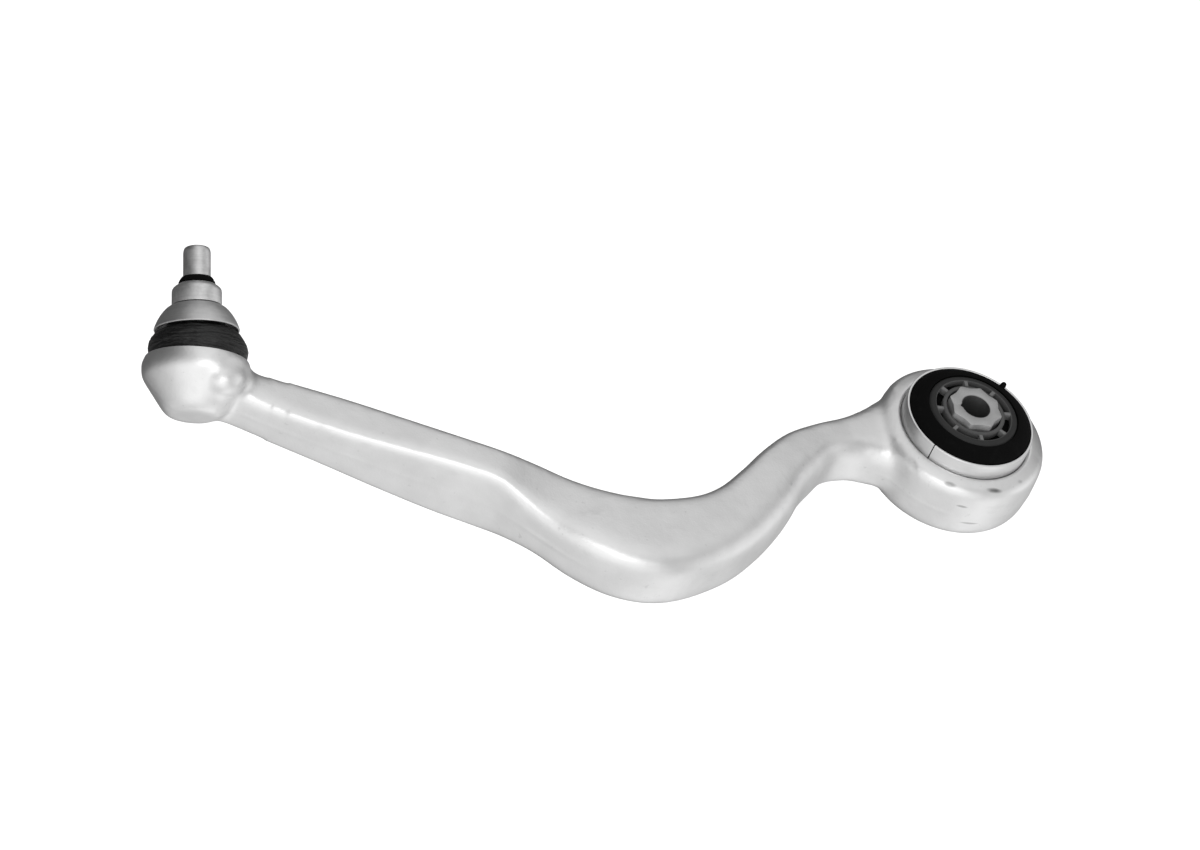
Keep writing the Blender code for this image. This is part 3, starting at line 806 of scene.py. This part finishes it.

# %% [markdown]
# ## The boot
#
# The boot keeps water out of the joint. Its foot stays on the housing and its top goes with the
# stud, which swings both ways. The swing is two hinges in a row, and a mesh can bend across one
# hinge only, so the boot is cut in two at the height where the first hinge has done its work. The
# halves share that ring of points, and neither rides on a body: both are drawn with the boot
# leaning to the stud's tilt above its foot. Fine creases round the outside come from noise that
# changes quickly with height and slowly round the boot. They are real shape, because a bump alone
# leaves the outline smooth.

# %% Boot mesh
BOOT_OUTSIDE = [(13.4, 28.6), (13.3, 27.6), (12.5, 26.9), (12.6, 26.0), (14.1, 25.5), (15.2, 24.5),
                (14.7, 22.9), (15.4, 21.9), (17.8, 21.7), (20.9, 20.2), (23.4, 17.6), (24.9, 14.9),
                (25.7, 12.2), (25.6, 9.8), (25.0, 7.4), (24.6, 5.9)]
BOOT_INSIDE = [(24.2, 5.9), (24.2, 7.9), (23.6, 8.6), (23.5, 11.4), (23.6, 13.6), (22.0, 16.6),
               (19.6, 18.7), (16.0, 19.9), (13.4, 20.8), (12.6, 22.8), (11.4, 24.4), (11.4, 28.6)]
CUT_HEIGHT = 16.0
LEAN_FROM, LEAN_OVER = 11.0, 12.0
CREASE_DEPTH = 0.018                    # share of the radius
CREASES_ROUND, CREASES_UP = 90, 0.9     # noise cells a metre round the boot, and a mm up it
CREASED_FROM, CREASED_TO, CREASE_FADE = 8.5, 24.0, 3.0
FOLDS_MEET = 20.0                       # height between the two folds
LOWER_SKIN, UPPER_SKIN = 20.5, 16.5     # past these radii a point is on the outside


def clamped(value):
    """A number kept between 0 and 1."""
    return min(max(value, 0.0), 1.0)


def creased(vertex):
    """Press a vertex on the boot's outside in or out, and leave the inside as it is."""
    height, radius = vertex.co.z / MM, vertex.co.xy.length / MM
    if radius > (LOWER_SKIN if height < FOLDS_MEET else UPPER_SKIN):
        crease = noise.noise(Vector((vertex.co.x * CREASES_ROUND, vertex.co.y * CREASES_ROUND,
                                     height * CREASES_UP)))
        fade = (clamped((height - CREASED_FROM) / CREASE_FADE)
                * clamped((CREASED_TO - height) / CREASE_FADE))
        vertex.co.xy *= 1 + CREASE_DEPTH * crease * fade


def boot_half(name, keep_upper):
    """Half of the boot, closed where it was cut, leaning with the stud at its upper end."""
    work = spun(flowing(BOOT_OUTSIDE, 4) + flowing(BOOT_INSIDE, 3), 120, closed=True)
    geometry = list(work.verts) + list(work.edges) + list(work.faces)
    cut = bmesh.ops.bisect_plane(work, geom=geometry, plane_co=(0, 0, CUT_HEIGHT * MM),
                                 plane_no=(0, 0, 1), clear_outer=not keep_upper,
                                 clear_inner=keep_upper)
    rim = [item for item in cut["geom_cut"] if isinstance(item, bmesh.types.BMEdge)]
    bmesh.ops.bridge_loops(work, edges=rim)
    for vertex in work.verts:
        creased(vertex)
        share = clamped((vertex.co.z / MM - LEAN_FROM) / LEAN_OVER)
        share = share * share * (3 - 2 * share)
        vertex.co.rotate(Matrix.Rotation((STUD_TILT - SOCKET_TILT) * share, 3, 'Y'))
    bmesh.ops.recalc_face_normals(work, faces=work.faces)
    return object_from(name, work, SOCKET)


boot_foot = finish(boot_half("dust_boot_foot", False), BOOT_RUBBER, "rubber", None, "dust_boot")
boot_top = finish(boot_half("dust_boot_top", True), BOOT_RUBBER, "rubber", None, "dust_boot")
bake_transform(boot_foot)
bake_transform(boot_top)

# %% [markdown]
# ## The bush's sleeve
#
# The sleeve is strip rolled to a tube, so it has a narrow slit where its ends meet. Spinning its
# section a little less than a full turn leaves that slit open, and filling the two open ends
# closes the strip. Cutting a whole tube with a thin box would give the same slit with more work.

# %% Sleeve
SLEEVE = [(34.7, 24.25, 0.35), (34.7, -24.25, 0.35), (33.4, -24.25, 0.35), (33.4, 24.25, 0.35)]
SLIT_ANGLE = math.radians(222.0)
SLIT_SHARE = 0.55 / 34.0        # the slit's width over the sleeve's radius, an angle


def rolled_tube():
    """A tube that stops just short of a full turn, with closed ends at its slit."""
    work = spun(rounded(SLEEVE, closed=True), 180, closed=True, angle=FULL_TURN - SLIT_SHARE)
    ends = [edge for edge in work.edges if edge.is_boundary]
    bmesh.ops.holes_fill(work, edges=ends, sides=0)
    bmesh.ops.recalc_face_normals(work, faces=work.faces)
    return object_from("bush_sleeve_fine", work,
                       BUSH @ Matrix.Rotation(SLIT_ANGLE + SLIT_SHARE / 2, 4, 'Z'))


finish(rolled_tube(), SLEEVE_METAL, "sleeve_aluminium", "arm", "bush_sleeve")

# %% [markdown]
# ## The bush's rubber
#
# The rubber is moulded between the core and the cage. Its end is dished: it falls away from the
# stop ring to the sleeve in one soft slope. A small nub of flash is left on its rim. Inside, a
# chamber on each side holds the fluid. The rubber is spun as a whole ring, each chamber is cut
# from it with a box that has round corners, and the nub is joined on with a union.

# %% Rubber
RUBBER_END = [(14.9, 24.95, 0.2), (24.55, 24.95, 0.2), (24.55, 29.0, 0.5), (26.4, 28.5, 0.8),
              (28.6, 27.4, 1.2), (31.5, 25.6, 1.2), (33.1, 24.0, 0.4), (33.1, 20.8, 0.1),
              (29.7, 20.8, 0.1)]
CHAMBER_SIZE = Vector((31.2, 31.0, 19.2)) * MM
CHAMBER_CORNER = 1.5 * MM
CHAMBER_PLACE = 34.5 * MM
NUB = [(0, 1.8), (1.0, 1.6, 0.5), (1.6, 0.2, 0.5), (1.7, -3.0), (0, -3.0)]
NUB_PLACE = Vector((22.9, 22.9, 30.2)) * MM
NUB_BEARING, NUB_LEAN = math.radians(45), math.radians(60)


def chamber(side):
    """A box with round corners that cuts one fluid chamber."""
    work = bmesh.new()
    bmesh.ops.create_cube(work, size=1.0)
    bmesh.ops.scale(work, vec=CHAMBER_SIZE, verts=work.verts)
    bmesh.ops.bevel(work, geom=list(work.edges), offset=CHAMBER_CORNER, offset_type='OFFSET',
                    affect='EDGES', segments=3, profile=0.5, material=-1)
    bmesh.ops.translate(work, vec=(0, side * CHAMBER_PLACE, 0), verts=work.verts)
    return object_from("chamber", work, BUSH)


def flash_nub():
    """The nub of flash on the rim, a short blunt peg."""
    turn = Matrix.Rotation(NUB_BEARING, 4, 'Z') @ Matrix.Rotation(NUB_LEAN, 4, 'Y')
    return object_from("nub", spun(rounded(NUB), 20), Matrix.Translation(NUB_PLACE) @ turn)


lower_end = [(radius, -height, *rest) for radius, height, *rest in reversed(RUBBER_END)]
rubber = object_from("bush_rubber_fine", spun(rounded(RUBBER_END + lower_end, closed=True), 144,
                                              closed=True), BUSH)
carve(rubber, chamber(-1), chamber(1))
carve(rubber, flash_nub(), operation='UNION')
finish(rubber, BUSH_RUBBER, "rubber", "arm", "bush_rubber")

# %% [markdown]
# ## Stop rings
#
# A stop ring lies at each end of the bush. It has eight pockets, with thin webs between them. The
# ring grows outwards from a circle: each step extrudes the outer edge and widens it. The faces of
# the pockets are deleted, the flat ring is extruded down, and its crisp edges are bevelled. Eight
# Boolean cuts would make the same pockets, but they leave long thin faces that bevel badly.

# %% Stop rings
POCKETS = 8
RING_SEGMENTS = POCKETS * 16
RING_STEPS = [(14.9, 0.0), (15.4, 0.0), (17.0, 0.0), (18.2, 0.0), (19.4, 0.0), (20.6, 0.0),
              (22.0, 0.0), (22.9, -0.15), (23.6, -0.5), (24.2, -1.2)]
RING_THICK = 4.0
RING_TOP = 29.25
RING_EDGE = 0.22
WEB_WIDTH = 2.1
POCKET_INNER, POCKET_OUTER = 17.0, 20.6
CRISP = math.radians(50)        # an edge that folds more than this is bevelled


def in_pocket(place):
    """Whether a face's middle lies in a pocket of the ring."""
    step = FULL_TURN / POCKETS
    radius, angle = place.xy.length / MM, math.atan2(place.y, place.x) % step
    off_web = radius * min(angle, step - angle) > WEB_WIDTH / 2
    return POCKET_INNER < radius < POCKET_OUTER and off_web


def stop_ring(name, turn):
    """A flat ring with pockets, thickened and with soft edges."""
    work = bmesh.new()
    verts = bmesh.ops.create_circle(work, segments=RING_SEGMENTS,
                                    radius=RING_STEPS[0][0] * MM)["verts"]
    edges = list({edge for vertex in verts for edge in vertex.link_edges})
    for radius, drop in RING_STEPS[1:]:
        grown = bmesh.ops.extrude_edge_only(work, edges=edges)["geom"]
        verts = [item for item in grown if isinstance(item, bmesh.types.BMVert)]
        edges = [item for item in grown if isinstance(item, bmesh.types.BMEdge)
                 and all(vertex in verts for vertex in item.verts)]
        for vertex in verts:
            vertex.co.xy *= radius * MM / vertex.co.xy.length
            vertex.co.z = drop * MM
    pockets = [face for face in work.faces if in_pocket(face.calc_center_median())]
    bmesh.ops.delete(work, geom=pockets, context='FACES')
    top = list(work.faces)
    sides = bmesh.ops.extrude_face_region(work, geom=top, use_keep_orig=True)["geom"]
    for vertex in (item for item in sides if isinstance(item, bmesh.types.BMVert)):
        vertex.co.z = -RING_THICK * MM
    bmesh.ops.recalc_face_normals(work, faces=work.faces)
    crisp = [edge for edge in work.edges if edge.is_manifold and edge.calc_face_angle() > CRISP]
    bmesh.ops.bevel(work, geom=crisp, offset=RING_EDGE * MM, offset_type='OFFSET', affect='EDGES',
                    segments=2, profile=0.5, material=-1, clamp_overlap=True)
    return object_from(name, work, BUSH @ turn @ Matrix.Translation((0, 0, RING_TOP * MM)))


upper_ring = stop_ring("stop_ring_upper_fine", Matrix())
lower_ring = stop_ring("stop_ring_lower_fine", Matrix.Rotation(math.pi, 4, 'X'))
finish(upper_ring, RING_PLASTIC, "dark_plastic", "bush_core", "stop_ring_upper")
finish(lower_ring, RING_PLASTIC, "dark_plastic", "bush_core", "stop_ring_lower")

# %% [markdown]
# ## The core
#
# The core is an extruded bar with eight shallow flutes, bored for the bolt, with a key notch at
# one side of the bore. Two loops with the same number of points, one for the outline and one for
# the bore, bridge into a flat ring, and that ring is extruded to the core's length. A gear shape
# with a Boolean bore would do as well, but bridged loops leave even faces round the bore.

# %% Core
CORE_POINTS = 160
CORE_HALF = 32.25
CORNER, WAIST = 14.6, 12.7
CORNER_EASE = 0.035     # angle over which a corner is evened out
BORE, NOTCH = 7.6, 1.25
NOTCH_HALF = 0.20       # half angle of the notch
RIM_EDGE = 0.35
RIM_FOLD = math.radians(60)     # an edge that folds more than this can be a rim


def flute_radius(angle):
    """Radius of the outline, with straight flanks between its corners and waists."""
    step = math.pi / POCKETS
    index = int(angle / step)
    here, there = (CORNER, WAIST) if index % 2 else (WAIST, CORNER)
    left, right = index * step, (index + 1) * step
    start = Vector((here * math.cos(left), here * math.sin(left)))
    stop = Vector((there * math.cos(right), there * math.sin(right)))
    flank = stop - start
    ray = Vector((math.cos(angle), math.sin(angle)))
    return (start.x * flank.y - start.y * flank.x) / (ray.x * flank.y - ray.y * flank.x)


def softened_radius(angle):
    """The outline with its corners eased, as a die leaves them."""
    nearby = [angle + CORNER_EASE * step for step in (-1, -0.5, 0, 0.5, 1)]
    return sum(flute_radius(value % FULL_TURN) for value in nearby) / len(nearby)


def bore_radius(angle):
    """The bore with its key notch towards the arm."""
    away = abs(angle - math.pi)
    return BORE + NOTCH * max(0.0, 1 - away / NOTCH_HALF)


def core_bar():
    """Outline and bore bridged to a flat ring, extruded and bevelled at its ends."""
    work = bmesh.new()
    loops = []
    for shape in (softened_radius, bore_radius):
        ring = bmesh.ops.create_circle(work, segments=CORE_POINTS, radius=1.0)["verts"]
        for vertex in ring:
            angle = math.atan2(vertex.co.y, vertex.co.x) % FULL_TURN
            vertex.co = vertex.co * shape(angle) * MM
        loops += {edge for vertex in ring for edge in vertex.link_edges}
    faces = bmesh.ops.bridge_loops(work, edges=loops)["faces"]
    bmesh.ops.translate(work, vec=(0, 0, -CORE_HALF * MM), verts=work.verts)
    grown = bmesh.ops.extrude_face_region(work, geom=faces, use_keep_orig=True)["geom"]
    top = [item for item in grown if isinstance(item, bmesh.types.BMVert)]
    bmesh.ops.translate(work, vec=(0, 0, 2 * CORE_HALF * MM), verts=top)
    bmesh.ops.recalc_face_normals(work, faces=work.faces)
    rims = [edge for edge in work.edges if edge.calc_face_angle() > RIM_FOLD
            and abs(edge.verts[0].co.z - edge.verts[1].co.z) < WELD]
    bmesh.ops.bevel(work, geom=rims, offset=RIM_EDGE * MM, offset_type='OFFSET', affect='EDGES',
                    segments=2, profile=0.5, material=-1, clamp_overlap=True)
    return object_from("bush_core_fine", work, BUSH)


finish(core_bar(), CORE_METAL, "core_aluminium", "bush_core", "bush_core", sharp=30)

# %% [markdown]
# ## Pieces out of sight
#
# The bearing shell, the rings, the cage, the channel halves and the stops are hidden inside. They
# could be modelled finely too, but nobody sees them unless the part is opened, and their working
# solids already have the right shape. So they keep it and only get their finish.

# %% Finish of the hidden pieces
HIDDEN = {
    "bearing_shell": PALE_PLASTIC, "slide_ring": PALE_PLASTIC, "closing_ring": RING_METAL,
    "lower_boot_ring": RING_METAL, "upper_boot_ring": RING_METAL, "window_cage": RING_METAL,
    "channel_half_front": DARK_PLASTIC, "channel_half_rear": DARK_PLASTIC,
    "chamber_stop_front": DARK_PLASTIC, "chamber_stop_rear": DARK_PLASTIC, "grease_fill": GREASE,
}
for name, material in HIDDEN.items():
    nodes[name].data.materials.clear()
    nodes[name].data.materials.append(material)
print(len(HIDDEN), "hidden pieces have their finish")

# %% [markdown]
# ## Camera, floor and light
#
# The camera stands far away behind a long lens, which keeps the near end of the arm from looking
# larger than the far end. A parallel camera would do that too, but a little perspective looks
# more natural. Three directions say how it is turned, and its aim is a point in its own frame.

# %% Camera
RIGHT = Vector((0.918, -0.201, 0.343)).normalized()
UP = Vector((-0.088, 0.739, 0.669))
UP = (UP - RIGHT * UP.dot(RIGHT)).normalized()
BACK = RIGHT.cross(UP)
AIM = RIGHT * -0.1814 + UP * 0.0145
DISTANCE = 13.7
FIELD_WIDTH = 0.6192

camera_data = bpy.data.cameras.new("camera")
camera_data.sensor_width = 36.0
camera_data.lens = camera_data.sensor_width * DISTANCE / FIELD_WIDTH
camera = bpy.data.objects.new("camera", camera_data)
bpy.context.scene.collection.objects.link(camera)
camera.matrix_world = Matrix.Translation(AIM + BACK * DISTANCE) @ Matrix(
    (RIGHT, UP, BACK)).transposed().to_4x4()
bpy.context.scene.camera = camera
print(f"lens {camera_data.lens:.0f} mm")

# %% [markdown]
# The floor is pale and well below the part. It glows a little, so that it is white without a
# strong light on it, and it is left out of reflections, because the metal should show the soft
# cards of the next cell and not a floor.

# %% Floor
FLOOR_DROP = 0.30
FLOOR_HALF = 20.0
work = bmesh.new()
bmesh.ops.create_grid(work, x_segments=2, y_segments=2, size=FLOOR_HALF)
floor = object_from("floor", work, Matrix.Translation((0, 0, cad_box[0].z - FLOOR_DROP)))
pale = Recipe("pale_floor", Roughness=0.9, Specular_IOR_Level=0.1, Emission_Strength=0.55)
paper = pale.noise(0.5, 2.0)
pale.feed("Base Color", pale.mix(paper, grey(0.86), grey(0.88)))
pale.feed("Emission Color", pale.mix(paper, grey(0.98), grey(1.0)))
floor.data.materials.append(pale.material)
floor.visible_glossy = False
print(f"floor at {cad_box[0].z - FLOOR_DROP:.3f} m")

# %% [markdown]
# Satin metal shows its surroundings, so the light is mostly a matter of what stands round it: a
# bright soft card in front, a bright ceiling, and darker space to the sides and behind, which
# draws a dark line along each edge that turns away. Cards could be real lit planes. In the world
# they are wide soft spots about a direction, which costs no samples and leaves no edges.

# %% Light
WORLD_BASE = 0.12
WORLD_CARDS = [
    # direction, where it starts and is full (cosine), strength
    ((-0.25, -0.85, -0.45), 0.00, 0.85, 0.72),
    ((0.12, 0.45, 0.88), 0.66, 0.96, 0.86),
    ((-0.30, -0.70, 0.65), 0.30, 0.95, 0.60),
    ((0.80, -0.25, -0.60), 0.55, 0.95, 0.56),
    ((0.93, -0.12, 0.30), 0.78, 0.98, 0.95),
]
KEY_PLACE = Vector((-0.45, -1.05, 1.25))
KEY_AIM = Vector((-0.2, -0.03, 0))
KEY_SIZE, KEY_POWER = 0.9, 4.2


def studio_world():
    """A soft surround: bright in front and above, darker behind and to the sides."""
    world = bpy.data.worlds.new("studio")
    world.use_nodes = True
    bpy.context.scene.world = world
    maker = Maker(world.node_tree)
    direction = maker.node('ShaderNodeTexCoord', output="Generated")
    level = WORLD_BASE
    for towards, low, high, strength in WORLD_CARDS:
        facing = maker.node('ShaderNodeVectorMath', {"operation": 'DOT_PRODUCT'},
                            {0: direction, 1: Vector(towards).normalized()}, output="Value")
        level = level + maker.step(facing, low, high) * strength
    background = maker.tree.nodes["Background"]
    background.inputs["Color"].default_value = grey(1.0)
    maker.tree.links.new(level.socket, background.inputs["Strength"])


studio_world()
key_data = bpy.data.lights.new("front_softbox", 'AREA')
key_data.shape = 'DISK'
key_data.size = KEY_SIZE
key_data.energy = KEY_POWER
key = bpy.data.objects.new("front_softbox", key_data)
bpy.context.scene.collection.objects.link(key)
key_turn = (KEY_PLACE - KEY_AIM).to_track_quat('Z', 'Y').to_matrix().to_4x4()
key.matrix_world = Matrix.Translation(KEY_PLACE) @ key_turn
bpy.context.scene.view_settings.view_transform = 'Standard'
print("camera, floor and light are set")
